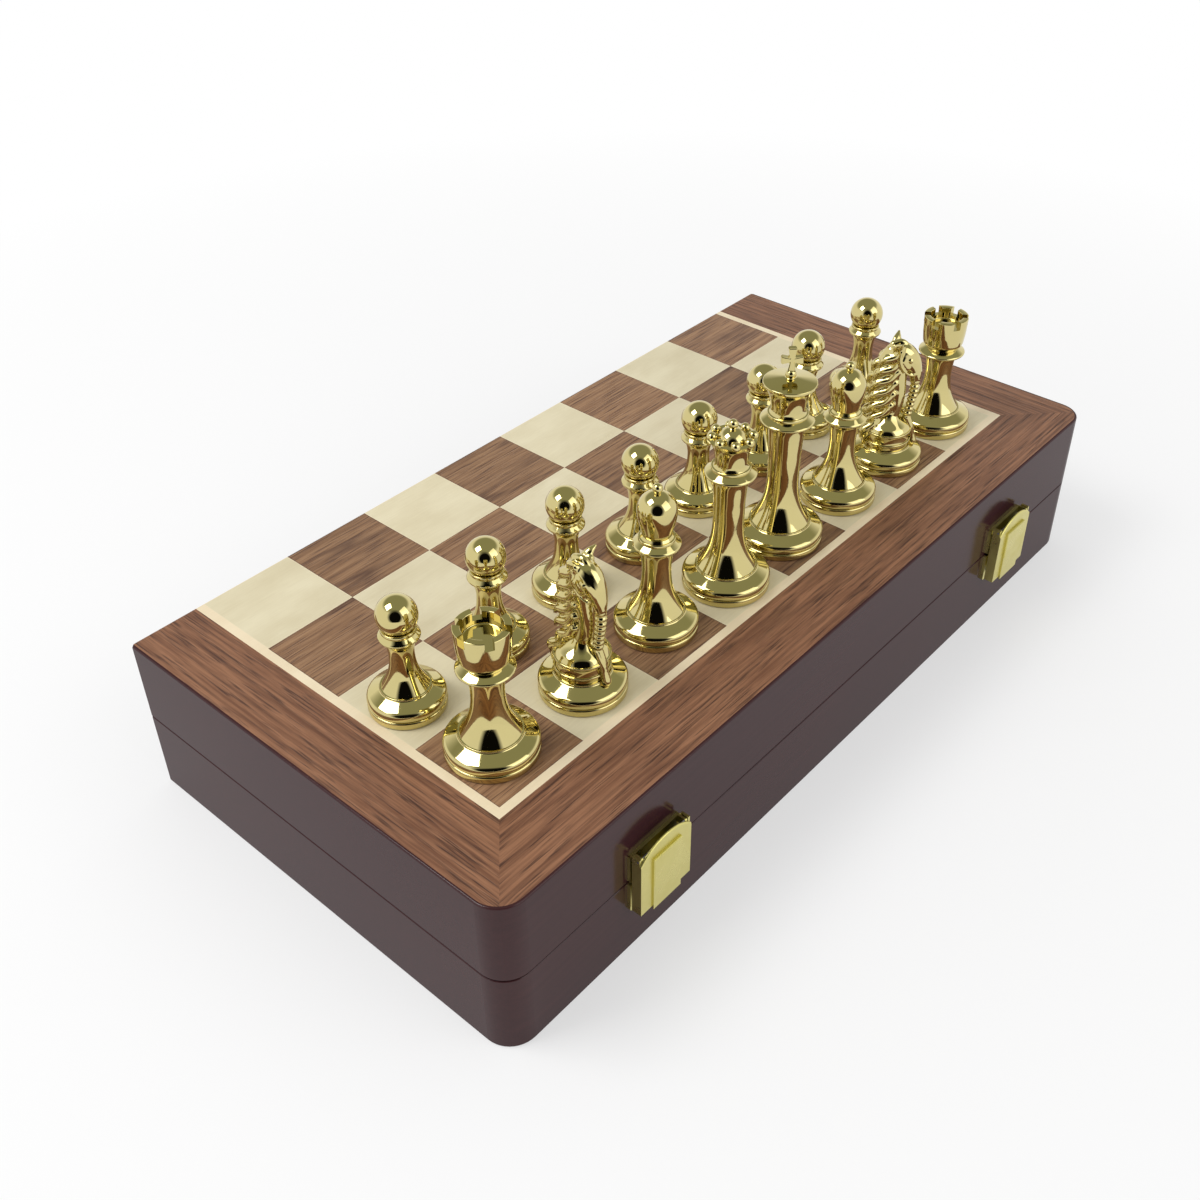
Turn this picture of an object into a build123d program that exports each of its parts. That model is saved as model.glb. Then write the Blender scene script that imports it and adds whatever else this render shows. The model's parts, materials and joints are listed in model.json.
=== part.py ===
"""Folding chess set: a hinged wooden case whose two halves open into a chess board.

Millimetres, +Z up. The origin is on the resting face, below the centre of the closed case.
+X runs along the case and the latches face -Y. The hinge axis lies behind the case, along X.
"""
from build123d import *
from collections import namedtuple
from math import atan2, degrees
import os

# Playing field of one half
square = 31.25
files = 8
ranks_per_half = 4

# Inlaid veneers around and in the field
veneer_t = 0.8
stringing_w = 2.8
border_w = 21.4
lip_w = 0.8

# Case halves
half_h = 27.3
seam_gap = 0.4
deck_t = 4.0
rail_t = 8.0
front_corner_r = 8.75
back_corner_chamfer = 0.5
lip_round = 0.6
seam_chamfer = 0.2

# Foam lining and the troughs that hold the men
foam_below_seam = 0.5
foam_side_gap = 0.2
trough_rows = 4
trough_w = 29.5
trough_end_wall = 5.0
trough_floor = 2.5

# Butt hinges
hinge_x = 90.0
hinge_len = 30.0
hinge_axis_behind = 0.15
leaf_w = 6.5
leaf_t = 1.0
barrel_r = 2.0
middle_knuckle = 9.9
knuckle_gap = 0.15
pin_r = 0.9
pin_clearance = 0.05
pin_end = 0.5
barrel_room = 0.3
mortise_gap = 0.1
screw_pitch = 11.0
screw_head_r = 1.7
screw_head_h = 0.8
screw_shank_r = 0.9
screw_len = 9.0
screw_tip = 1.5
screw_slot_w = 0.5
screw_slot_half = 1.1
screw_slot_h = 0.35

# Flap latches
latch_x = 94.6
latch_w = 20.6
latch_drop = 9.9
latch_shoulder = 9.4
latch_arch = 4.1
plate_t = 1.0
plate_seam_gap = 0.4
plate_top = 10.4
plate_corner_r = 0.6
flap_back = 4.1
flap_t = 0.6
flap_edge_r = 0.55
flange_t = 0.8
flange_wall_gap = 1.5
flange_over_pin = 0.9
latch_pin_above_seam = 10.5
latch_pin_from_wall = 3.5
latch_pin_r = 0.35
latch_pin_clearance = 0.05
ear_r = 0.55
ear_t = 0.7
ear_root = 2.0
ear_gap = 0.2
panel_w = 11.4
panel_top = 8.6
panel_drop = 10.9
panel_t = 0.5
button_foot = -1.7
button_t = 0.3
button_taper = 30.0
hook_t = 0.8
hook_wall_gap = 2.8
keeper_w = 13.0
keeper_reach = 2.6
keeper_t = 0.6
keeper_below_seam = 6.8
keeper_drop = 10.8
nail_spread = 5.0
nail_above_seam = 4.5
nail_below_seam = 3.4
nail_head_r = 1.3
nail_head_h = 0.5
nail_r = 0.6
nail_len = 6.0

# Chessmen: the moulded foot that all of them share
toe = 0.45
ring_h = 2.3
groove_h = 0.5
foot_h = 5.0
shoulder_z = 7.0
step_h = 0.5
step_w = 0.5
neck_flare = 0.8
neck_bead = 0.6
collar_under = 1.8
collar_over = 1.8
collar_rim = 0.5
man_gap = 0.05
lay_gap = 3.0

# Chessmen: the turned part of each kind, up to its collar
Turning = namedtuple("Turning", "foot_r stem_r waist_r waist_z collar_r collar_z")
pawn_turning = Turning(foot_r=10.95, stem_r=6.6, waist_r=3.5, waist_z=18.5, collar_r=5.75, collar_z=24.6)
rook_turning = Turning(foot_r=12.95, stem_r=8.3, waist_r=4.5, waist_z=21.0, collar_r=7.85, collar_z=29.0)
bishop_turning = Turning(foot_r=12.45, stem_r=8.0, waist_r=4.2, waist_z=22.0, collar_r=6.95, collar_z=30.3)
queen_turning = Turning(foot_r=13.35, stem_r=8.8, waist_r=4.7, waist_z=29.0, collar_r=7.7, collar_z=39.8)
king_turning = Turning(foot_r=13.75, stem_r=9.1, waist_r=5.0, waist_z=31.0, collar_r=8.3, collar_z=43.5)
knight_foot_r = 12.55
knight_drum_r = 7.6
knight_drum_top = 14.2
knight_bead_zs = (9.4, 13.0)
knight_h = 47.0
horse_reach = 8.6
horse_half_len = 10.9
horse_half_w = 5.8

pawn_neck_r = 4.9
pawn_ball_r = 5.75
pawn_ball_z = 31.3
rook_crown_r = 7.5
rook_crown_flare = 0.6
rook_crown_wall = 2.1
rook_crown_floor = 38.3
rook_h = 42.3
rook_notches = 6
rook_notch_w = 2.5
rook_notch_h = 2.6
bishop_neck_r = 5.4
bishop_ball_r = 5.75
bishop_ball_z = 41.6
bishop_knob_r = 1.5
bishop_knob_z = 48.5
queen_cup_r = 4.8
queen_crown_r = 7.2
queen_rim_z = 51.6
queen_points = 8
queen_point_r = 1.6
queen_dome_r = 4.6
queen_dome_sunk = 1.6
queen_knob_r = 1.5
queen_knob_z = 55.8
king_cup_r = 5.2
king_crown_r = 8.15
king_rim_z = 56.3
king_rim_t = 0.8
king_cap_h = 1.2
king_knob_r = 1.7
king_knob_z = 58.6
king_h = 67.3
cross_w = 6.4
cross_t = 1.8
cross_bar = 2.3
cross_waist = 0.7
cross_arm_z = 63.4

# Where each gold man stands: file from the near end, then the shove off its square's centre
back_rank = 3
pawn_rank = 2
back_row = [
    ("near_rook", 0, (-2.2, 0.3)), ("near_knight", 1, (0.0, -1.5)), ("near_bishop", 2, (2.0, 0.0)),
    ("queen", 3, (0.9, -2.4)), ("king", 4, (-0.7, -0.9)), ("far_bishop", 5, (-0.7, -2.2)),
    ("far_knight", 6, (-2.6, -1.7)), ("far_rook", 7, (-1.9, -1.6)),
]
pawn_shoves = [(-4.8, -0.9), (-3.2, -0.4), (-2.0, 0.0), (-1.9, -1.9), (-1.7, 0.1), (0.1, -1.0), (-2.1, 1.4),
               (0.7, -0.4)]
near_knight_facing = -92.0
far_knight_facing = -52.0
king_cross_facing = -48.0

# Sizes that follow from the ones above
field_length = files * square
field_depth = ranks_per_half * square
margin = stringing_w + border_w + lip_w
case_length = field_length + 2 * margin
case_width = field_depth + margin
case_h = 2 * half_h + seam_gap
front_y = -case_width / 2
hinge_y = case_width / 2
seam_z = case_h / 2
upper_z = half_h + seam_gap
deck_under = case_h - deck_t
veneer_under = case_h - veneer_t
inner_x = case_length / 2 - rail_t
inner_y = case_width / 2 - rail_t
field_x = field_length / 2
field_front = hinge_y - field_depth
axis_y = hinge_y + hinge_axis_behind
seam_plane = Plane.XY.offset(seam_z)
trough_pitch = 2 * (inner_y - foam_side_gap) / trough_rows
trough_top = deck_under - trough_floor
trough_half_len = inner_x - trough_end_wall
latch_xs = {"near": -latch_x, "far": latch_x}
outwards = {"front": Axis.Y.reverse(), "back": Axis.Y, "near": Axis.X.reverse(), "far": Axis.X}
head_angle = 2 * degrees(atan2(screw_head_r - screw_shank_r, screw_head_h))

os.makedirs("parts", exist_ok=True)


def save(part, name):
    """Label one finished piece and write it to its own file."""
    part.label = name
    export_step(part, f"parts/{name}.step")


def footprint(inset=0.0):
    """Outline of the case from above: square at the hinge edge, rounded at the two front corners."""
    with BuildSketch() as outline:
        with Locations((0, inset / 2)):
            Rectangle(case_length - 2 * inset, case_width - inset)
        front = outline.vertices().group_by(Axis.Y)[0]
        fillet(front, front_corner_r - inset)
        if inset == 0:
            back = outline.vertices().group_by(Axis.Y)[-1]
            chamfer(back, back_corner_chamfer)
    return outline.sketch


def side_corners(side, x_in, y_front, y_back):
    """Plan corners of the area beyond one side of a rectangle, cut at 45 degrees at its ends."""
    reach = case_width / 2
    near_front, far_front = (-x_in, y_front), (x_in, y_front)
    near_back, far_back = (-x_in, y_back), (x_in, y_back)
    out_near_front, out_far_front = (-x_in - reach, y_front - reach), (x_in + reach, y_front - reach)
    out_near_back, out_far_back = (-x_in - reach, y_back + reach), (x_in + reach, y_back + reach)
    return {
        "front": (near_front, out_near_front, out_far_front, far_front),
        "back": (near_back, far_back, out_far_back, out_near_back),
        "near": (near_back, out_near_back, out_near_front, near_front),
        "far": (far_front, out_far_front, out_far_back, far_back),
    }[side]


def strip(side, outline, x_in, y_front, y_back, bottom, height):
    """One mitred strip of a frame: the outline's area beyond one side of a rectangle, made solid."""
    with BuildPart() as piece:
        with BuildSketch(Plane.XY.offset(bottom)):
            add(outline)
            with BuildSketch(mode=Mode.INTERSECT):
                with BuildLine():
                    Polyline(*side_corners(side, x_in, y_front, y_back), close=True)
                make_face()
        extrude(amount=height)
    return piece.part


def rail(side, nail_offset):
    """One mitred rail of the upper half, with the cuts that its hinges or latches need."""
    with BuildPart() as piece:
        add(strip(side, footprint(), inner_x, -inner_y, inner_y, upper_z, deck_under - upper_z))
        seam_edges = piece.faces().sort_by(Axis.Z)[0].edges()
        chamfer(seam_edges.sort_by(outwards[side])[-1], seam_chamfer)
        if side == "back":
            for x in (-hinge_x, hinge_x):
                with Locations((x, hinge_y - leaf_w - mortise_gap, upper_z)):
                    Box(hinge_len + 2 * mortise_gap, leaf_w + 2 * mortise_gap, leaf_t,
                        align=(Align.CENTER, Align.MIN, Align.MIN), mode=Mode.SUBTRACT)
                with Locations(Location((x, axis_y, seam_z), (0, 90, 0))):
                    groove_len = hinge_len + 2 * (pin_end + barrel_room)
                    Cylinder(barrel_r + barrel_room, groove_len, mode=Mode.SUBTRACT)
                for screw in hinge_screw_places(x):
                    with Locations((*screw, upper_z + screw_len / 2)):
                        Cylinder(screw_shank_r, screw_len, mode=Mode.SUBTRACT)
        if side == "front":
            for x in latch_xs.values():
                with BuildSketch(wall_plane(x)):
                    with Locations((-nail_spread, nail_offset), (nail_spread, nail_offset)):
                        Circle(nail_r)
                extrude(amount=-nail_len, mode=Mode.SUBTRACT)
    return piece.part


def wall_plane(x, distance=0.0):
    """Plane in front of the front wall: +X along the case, +Y up from the seam, facing outwards."""
    return Plane((x, front_y - distance, seam_z), x_dir=(1, 0, 0), z_dir=(0, -1, 0))


def hinge_screw_places(x):
    """Plan positions of the three screws of one leaf."""
    y = hinge_y - leaf_w + (leaf_w - barrel_r + hinge_axis_behind) / 2
    return [(x + step * screw_pitch, y) for step in (-1, 0, 1)]


# Upper half of the case
with BuildPart() as upper_deck:
    with BuildSketch(Plane.XY.offset(deck_under)):
        add(footprint())
    extrude(amount=deck_t)
    rim = upper_deck.faces().sort_by(Axis.Z)[-1].edges()
    fillet(rim.sort_by(Axis.Y)[:-1], lip_round)
    with BuildSketch(Plane.XY.offset(veneer_under)):
        add(footprint(lip_w))
    extrude(amount=veneer_t, mode=Mode.SUBTRACT)

upper_rails = {side: rail(side, nail_above_seam) for side in outwards}
lower_rails = {side: rail(side, nail_below_seam) for side in outwards}

border_in_x = field_x + stringing_w
border_in_y = field_front - stringing_w
beyond = hinge_y + case_width
border_outline = footprint(lip_w)
upper_borders = {
    side: strip(side, border_outline, border_in_x, border_in_y, beyond, veneer_under, veneer_t)
    for side in ("front", "near", "far")
}

with BuildSketch() as stringing_outline:
    with Locations((0, (hinge_y + border_in_y) / 2)):
        Rectangle(2 * border_in_x, hinge_y - border_in_y)
upper_stringing = Compound([
    strip(side, stringing_outline.sketch, field_x, field_front, beyond, veneer_under, veneer_t)
    for side in ("front", "near", "far")
])


def square_centre(file, rank):
    """Plan centre of a square: files count from the near end, ranks from the hinge edge."""
    return (file + 0.5) * square - field_x, hinge_y - (rank + 0.5) * square


def inlaid_squares(first):
    """The squares of one wood as separate solids."""
    tiles = []
    for file in range(files):
        for rank in range(ranks_per_half):
            if (file + rank) % 2 == first:
                with BuildPart() as tile:
                    with BuildSketch(Plane.XY.offset(veneer_under)):
                        with Locations(square_centre(file, rank)):
                            Rectangle(square, square)
                    extrude(amount=veneer_t)
                tiles.append(tile.part.solid())
    return Compound(tiles)


with BuildPart() as upper_foam:
    foam_bottom = upper_z + foam_below_seam
    with BuildSketch(Plane.XY.offset(foam_bottom)):
        Rectangle(2 * (inner_x - foam_side_gap), 2 * (inner_y - foam_side_gap))
    extrude(amount=deck_under - foam_bottom)
    with BuildSketch(Plane.XY.offset(foam_bottom)):
        with GridLocations(0, trough_pitch, 1, trough_rows):
            Rectangle(2 * trough_half_len, trough_w)
    extrude(amount=trough_top - foam_bottom, mode=Mode.SUBTRACT)

save(upper_deck.part, "upper_deck")
for side in outwards:
    save(upper_rails[side], f"upper_{side}_rail")
for side in ("front", "near", "far"):
    save(upper_borders[side], f"upper_{side}_border")
save(upper_stringing, "upper_stringing")
save(inlaid_squares(1), "upper_dark_squares")
save(inlaid_squares(0), "upper_light_squares")
save(upper_foam.part, "upper_foam")


def mirrored(shape):
    """The same piece in the lower half, which mirrors the upper one in the seam."""
    return mirror(shape, about=seam_plane)


save(mirrored(upper_deck.part), "lower_deck")
for side in outwards:
    save(mirrored(lower_rails[side]), f"lower_{side}_rail")
for side in ("front", "near", "far"):
    save(mirrored(upper_borders[side]), f"lower_{side}_border")
save(mirrored(upper_stringing), "lower_stringing")
save(mirrored(inlaid_squares(0)), "lower_dark_squares")
save(mirrored(inlaid_squares(1)), "lower_light_squares")
save(mirrored(upper_foam.part), "lower_foam")


def hinge_axis(x, start, end):
    """Place for a round piece that spans start to end along the axis of the hinge at x."""
    return Location((x + (start + end) / 2, axis_y, seam_z), (0, 90, 0))


def hinge_leaves(own, other, bore_r, side):
    """Both leaves of one half, side being 1 above the seam and -1 below it, with their knuckles."""
    leaves = []
    for x in (-hinge_x, hinge_x):
        with BuildPart() as leaf:
            with Locations((x, hinge_y - leaf_w, seam_z + side * (seam_gap + leaf_t) / 2)):
                Box(hinge_len, leaf_w + hinge_axis_behind, leaf_t,
                    align=(Align.CENTER, Align.MIN, Align.CENTER))
            for start, end in other:
                with Locations(hinge_axis(x, start, end)):
                    Cylinder(barrel_r + knuckle_gap, end - start + 2 * knuckle_gap, mode=Mode.SUBTRACT)
            for start, end in own:
                with Locations(hinge_axis(x, start, end)):
                    Cylinder(barrel_r, end - start)
            with Locations(hinge_axis(x, -hinge_len / 2, hinge_len / 2)):
                Cylinder(bore_r, hinge_len, mode=Mode.SUBTRACT)
            with Locations(*screw_heads(x, side)):
                CounterSinkHole(screw_shank_r, screw_head_r, leaf_t, head_angle)
        leaves.append(leaf.part.solid())
    return Compound(leaves)


def screw_heads(x, side):
    """Places of a leaf's screw heads, each with +Z out of the head."""
    turn = 180 if side > 0 else 0
    height = seam_z + side * seam_gap / 2
    return [Location((*place, height), (turn, 0, 0)) for place in hinge_screw_places(x)]


def wood_screws(side):
    """Countersunk screws of both leaves of one half."""
    with BuildPart() as screw:
        with BuildSketch(Plane.XZ):
            with BuildLine():
                Polyline((0, 0), (screw_head_r, 0), (screw_shank_r, -screw_head_h),
                         (screw_shank_r, screw_tip - screw_len), (0, -screw_len), close=True)
            make_face()
        revolve(axis=Axis.Z)
        with BuildSketch():
            Rectangle(2 * screw_slot_half, screw_slot_w)
            Rectangle(screw_slot_w, 2 * screw_slot_half)
        extrude(amount=-screw_slot_h, mode=Mode.SUBTRACT)
    places = screw_heads(-hinge_x, side) + screw_heads(hinge_x, side)
    return Compound([screw.part.solid().moved(place) for place in places])


middle_half = middle_knuckle / 2
outer_start = middle_half + knuckle_gap
outer_knuckles = [(-hinge_len / 2, -outer_start), (outer_start, hinge_len / 2)]
middle_knuckles = [(-middle_half, middle_half)]

pins = []
for x in (-hinge_x, hinge_x):
    with BuildPart() as pin:
        with Locations(hinge_axis(x, -hinge_len / 2, hinge_len / 2)):
            Cylinder(pin_r, hinge_len + 2 * pin_end)
        chamfer(pin.edges().filter_by(GeomType.CIRCLE), pin_end / 2)
    pins.append(pin.part.solid())

save(hinge_leaves(outer_knuckles, middle_knuckles, pin_r, 1), "hinge_upper_leaves")
save(hinge_leaves(middle_knuckles, outer_knuckles, pin_r + pin_clearance, -1), "hinge_lower_leaves")
save(Compound(pins), "hinge_pins")
save(wood_screws(1), "hinge_upper_screws")
save(wood_screws(-1), "hinge_lower_screws")


def arched_outline(width, foot, shoulder, rise):
    """Upright outline with straight sides and an arch on top."""
    half = width / 2
    with BuildSketch() as outline:
        with BuildLine():
            Polyline((-half, shoulder), (-half, foot), (half, foot), (half, shoulder))
            ThreePointArc((half, shoulder), (0, shoulder + rise), (-half, shoulder))
        make_face()
    return outline.sketch


def plate_outline(low, high):
    """Upright plate as wide as the latch, with small round corners."""
    with BuildSketch() as outline:
        with Locations((0, (low + high) / 2)):
            RectangleRounded(latch_w, high - low, plate_corner_r)
    return outline.sketch


def across(x, width, distance, up):
    """Place for a round piece of the latch at x, at a distance from the wall and a height above the seam."""
    return Location((x, front_y - distance, seam_z + up), (0, 90, 0))


flange_top = latch_pin_above_seam + flange_over_pin
flange_x = (latch_w - flange_t) / 2
ear_x = latch_w / 2 - flange_t - ear_gap - ear_t / 2


def latch_plate(x):
    """Plate on the upper rail, with the two ears that hold the flap's pin."""
    with BuildPart() as plate:
        with BuildSketch(wall_plane(x)):
            add(plate_outline(plate_seam_gap, plate_top))
        extrude(amount=plate_t)
        for dx in (-ear_x, ear_x):
            with Locations((x + dx, front_y - plate_t, seam_z + latch_pin_above_seam - ear_root)):
                Box(ear_t, latch_pin_from_wall - plate_t, ear_root + ear_r,
                    align=(Align.CENTER, Align.MAX, Align.MIN))
            with Locations(across(x + dx, ear_t, latch_pin_from_wall, latch_pin_above_seam)):
                Cylinder(ear_r, ear_t)
        with Locations(across(x, latch_w, latch_pin_from_wall, latch_pin_above_seam)):
            Cylinder(latch_pin_r, latch_w, mode=Mode.SUBTRACT)
        with BuildSketch(wall_plane(x)):
            with Locations((-nail_spread, nail_above_seam), (nail_spread, nail_above_seam)):
                Circle(nail_r)
        extrude(amount=plate_t, mode=Mode.SUBTRACT)
    return plate.part.solid()


def latch_keeper(x):
    """Plate on the lower rail, with the lip that the flap's hook passes."""
    with BuildPart() as keeper:
        with BuildSketch(wall_plane(x)):
            add(plate_outline(-keeper_drop, -plate_seam_gap))
        extrude(amount=plate_t)
        with BuildSketch(wall_plane(x, plate_t)):
            with Locations((0, -keeper_below_seam)):
                Rectangle(keeper_w, keeper_t, align=(Align.CENTER, Align.MAX))
        extrude(amount=keeper_reach - plate_t)
        with BuildSketch(wall_plane(x)):
            with Locations((-nail_spread, -nail_below_seam), (nail_spread, -nail_below_seam)):
                Circle(nail_r)
        extrude(amount=plate_t, mode=Mode.SUBTRACT)
    return keeper.part.solid()


def latch_flap(x):
    """The flap: an arched face with a raised panel, flanges behind its sides and a hook at its foot."""
    with BuildPart() as flap:
        with BuildSketch(wall_plane(x, flap_back)):
            add(arched_outline(latch_w, -latch_drop, latch_shoulder, latch_arch))
        extrude(amount=flap_t)
        front_edges = flap.faces().sort_by(Axis.Y)[0].edges()
        fillet(front_edges.filter_by(GeomType.CIRCLE), flap_edge_r)
        with BuildSketch(wall_plane(x, flap_back + flap_t)):
            with Locations((0, -panel_drop)):
                Rectangle(panel_w, panel_drop + panel_top, align=(Align.CENTER, Align.MIN))
        extrude(amount=panel_t)
        with BuildSketch(wall_plane(x, flap_back + flap_t + panel_t)):
            with Locations((0, button_foot)):
                Rectangle(panel_w, panel_top - button_foot, align=(Align.CENTER, Align.MIN))
        extrude(amount=button_t, taper=button_taper)
        with BuildSketch(wall_plane(x, flange_wall_gap)):
            with Locations((-flange_x, -latch_drop), (flange_x, -latch_drop)):
                Rectangle(flange_t, latch_drop + flange_top, align=(Align.CENTER, Align.MIN))
        extrude(amount=flap_back - flange_wall_gap)
        with BuildSketch(wall_plane(x, hook_wall_gap)):
            with Locations((0, -latch_drop)):
                Rectangle(keeper_w, hook_t, align=(Align.CENTER, Align.MIN))
        extrude(amount=flap_back - hook_wall_gap)
        with Locations(across(x, latch_w, latch_pin_from_wall, latch_pin_above_seam)):
            Cylinder(latch_pin_r + latch_pin_clearance, latch_w, mode=Mode.SUBTRACT)
    return flap.part


def nails(up):
    """The nails of both latches in one half, driven into the front rail at this height above the seam."""
    both = []
    for x in latch_xs.values():
        for dx in (-nail_spread, nail_spread):
            with BuildPart() as nail:
                with BuildSketch(wall_plane(x + dx, plate_t)):
                    with Locations((0, up)):
                        Circle(nail_head_r)
                extrude(amount=nail_head_h)
                fillet(nail.faces().sort_by(Axis.Y)[0].edges(), nail_head_h / 2)
                with BuildSketch(wall_plane(x + dx, plate_t)):
                    with Locations((0, up)):
                        Circle(nail_r)
                extrude(amount=-(plate_t + nail_len))
            both.append(nail.part.solid())
    return Compound(both)


latch_pins = []
for x in latch_xs.values():
    with BuildPart() as latch_pin:
        with Locations(across(x, latch_w, latch_pin_from_wall, latch_pin_above_seam)):
            Cylinder(latch_pin_r, latch_w)
    latch_pins.append(latch_pin.part.solid())

save(Compound([latch_plate(x) for x in latch_xs.values()]), "latch_plates")
save(Compound([latch_keeper(x) for x in latch_xs.values()]), "latch_keepers")
save(Compound(latch_pins), "latch_pins")
save(nails(nail_above_seam), "latch_plate_nails")
save(nails(-nail_below_seam), "latch_keeper_nails")
for end, x in latch_xs.items():
    save(latch_flap(x), f"{end}_latch_flap")


def turn_foot(foot_r, stem_r):
    """Moulded foot of every man: two rounded rings, a groove between them and a sloping shoulder."""
    ring_r = foot_r - toe
    groove_r = foot_r - 2 * toe
    step_r = stem_r + step_w
    upper_ring = ring_h + groove_h
    with BuildSketch(Plane.XZ) as profile:
        with BuildLine():
            Line((0, 0), (ring_r, 0))
            ThreePointArc((ring_r, 0), (foot_r, ring_h / 2), (ring_r, ring_h))
            Polyline((ring_r, ring_h), (groove_r, ring_h + groove_h / 2), (ring_r, upper_ring))
            ThreePointArc((ring_r, upper_ring), (foot_r, (upper_ring + foot_h) / 2), (ring_r, foot_h))
            Polyline((ring_r, foot_h), (step_r, shoulder_z), (step_r, shoulder_z + step_h),
                     (0, shoulder_z + step_h), (0, 0))
        make_face()
    revolve(profile.sketch, axis=Axis.Z)


def turn_stem(size):
    """Concave stem up to the collar, and the collar itself with its rounded rim."""
    rim_in = size.collar_r - collar_rim
    rim_under = (rim_in, size.collar_z - collar_rim)
    rim_over = (rim_in, size.collar_z + collar_rim)
    neck_r = size.waist_r + neck_flare
    with BuildSketch(Plane.XZ) as profile:
        with BuildLine():
            foot = (size.stem_r, shoulder_z + step_h)
            waist = (size.waist_r, size.waist_z)
            neck = (neck_r, size.collar_z - collar_under)
            Line((0, shoulder_z + step_h), foot)
            Spline(foot, waist, tangents=[(-1, 1.6), (0, 1)])
            Spline(waist, neck, tangents=[(0, 1), (1, 2.5)])
            Line(neck, rim_under)
            ThreePointArc(rim_under, (size.collar_r, size.collar_z), rim_over)
            Polyline(rim_over, (neck_r, size.collar_z + collar_over), (0, size.collar_z + collar_over),
                     (0, shoulder_z + step_h))
        make_face()
    revolve(profile.sketch, axis=Axis.Z)


def turn_bead(radius, z, half_t):
    """A rounded ring of a turned man, centred at height z."""
    edge_r = radius - half_t
    with BuildSketch(Plane.XZ) as profile:
        with BuildLine():
            Polyline((edge_r, z + half_t), (0, z + half_t), (0, z - half_t), (edge_r, z - half_t))
            ThreePointArc((edge_r, z - half_t), (radius, z), (edge_r, z + half_t))
        make_face()
    revolve(profile.sketch, axis=Axis.Z)


def flared_bar(reach):
    """Corners of an upright bar of the cross, wider at its two ends than at its middle."""
    half = cross_bar / 2
    upper = [(-cross_waist, 0), (-half, reach), (half, reach)]
    lower = [(cross_waist, 0), (half, -reach), (-half, -reach)]
    return upper + lower


with BuildPart() as pawn:
    turn_foot(pawn_turning.foot_r, pawn_turning.stem_r)
    turn_stem(pawn_turning)
    turn_bead(pawn_neck_r, pawn_turning.collar_z + collar_over, neck_bead)
    with Locations((0, 0, pawn_ball_z)):
        Sphere(pawn_ball_r)

with BuildPart() as rook:
    turn_foot(rook_turning.foot_r, rook_turning.stem_r)
    turn_stem(rook_turning)
    with BuildSketch(Plane.XZ):
        with BuildLine():
            crown_foot = rook_turning.collar_z + collar_rim
            crown_in = rook_crown_r - rook_crown_wall
            Polyline((0, crown_foot), (rook_crown_r - rook_crown_flare, crown_foot), (rook_crown_r, rook_h),
                     (crown_in, rook_h), (crown_in, rook_crown_floor), (0, rook_crown_floor), close=True)
        make_face()
    revolve(axis=Axis.Z)
    with Locations((0, 0, rook_h)):
        with PolarLocations(0, rook_notches):
            Box(2 * rook_crown_r, rook_notch_w, 2 * rook_notch_h,
                align=(Align.MIN, Align.CENTER, Align.CENTER), mode=Mode.SUBTRACT)

with BuildPart() as bishop:
    turn_foot(bishop_turning.foot_r, bishop_turning.stem_r)
    turn_stem(bishop_turning)
    bishop_neck_z = bishop_turning.collar_z + collar_over
    turn_bead(bishop_neck_r, bishop_neck_z, neck_bead)
    with BuildSketch(Plane.XZ):
        with BuildLine():
            ball_foot = (bishop_neck_r - neck_bead, bishop_neck_z)
            ball_side = (bishop_ball_r, bishop_ball_z)
            ball_top = (0, bishop_ball_z + bishop_ball_r)
            Polyline(ball_top, (0, bishop_neck_z), ball_foot)
            Spline(ball_foot, ball_side, tangents=[(-0.2, 1), (0, 1)])
            RadiusArc(ball_side, ball_top, -bishop_ball_r)
        make_face()
    revolve(axis=Axis.Z)
    with Locations((0, 0, bishop_knob_z)):
        Sphere(bishop_knob_r)

with BuildPart() as queen:
    turn_foot(queen_turning.foot_r, queen_turning.stem_r)
    turn_stem(queen_turning)
    with BuildSketch(Plane.XZ):
        with BuildLine():
            cup_foot = (queen_cup_r, queen_turning.collar_z + collar_rim)
            Polyline((0, queen_rim_z), (0, cup_foot[1]), cup_foot)
            Spline(cup_foot, (queen_crown_r, queen_rim_z), tangents=[(0, 1), (1.2, 1)])
            Line((queen_crown_r, queen_rim_z), (0, queen_rim_z))
        make_face()
    revolve(axis=Axis.Z)
    with Locations((0, 0, queen_rim_z)):
        with PolarLocations(queen_crown_r - queen_point_r, queen_points):
            Sphere(queen_point_r)
    with Locations((0, 0, queen_rim_z - queen_dome_sunk)):
        Sphere(queen_dome_r)
    with Locations((0, 0, queen_knob_z)):
        Sphere(queen_knob_r)

with BuildPart() as king:
    turn_foot(king_turning.foot_r, king_turning.stem_r)
    turn_stem(king_turning)
    with BuildSketch(Plane.XZ):
        with BuildLine():
            cup_foot = (king_cup_r, king_turning.collar_z + collar_rim)
            cup_rim = (king_crown_r, king_rim_z)
            Polyline((0, king_rim_z + king_cap_h), (0, cup_foot[1]), cup_foot)
            Spline(cup_foot, (king_crown_r, king_rim_z - king_rim_t), tangents=[(0, 1), (1, 1.6)])
            Polyline((king_crown_r, king_rim_z - king_rim_t), cup_rim, (0, king_rim_z + king_cap_h))
        make_face()
    revolve(axis=Axis.Z)
    with Locations((0, 0, king_knob_z)):
        Sphere(king_knob_r)
    with BuildSketch(Plane.XZ):
        with Locations((0, cross_arm_z)):
            Polygon(*flared_bar(king_h - cross_arm_z), align=None)
            Polygon(*flared_bar(cross_w / 2), rotation=90, align=None)
    extrude(amount=cross_t / 2, both=True)


def on_knight(across, up):
    """A point of the horse: across in reaches, up as a share of the way from the drum to the ears."""
    return across * horse_reach, knight_drum_top + up * (knight_h - knight_drum_top)


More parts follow.
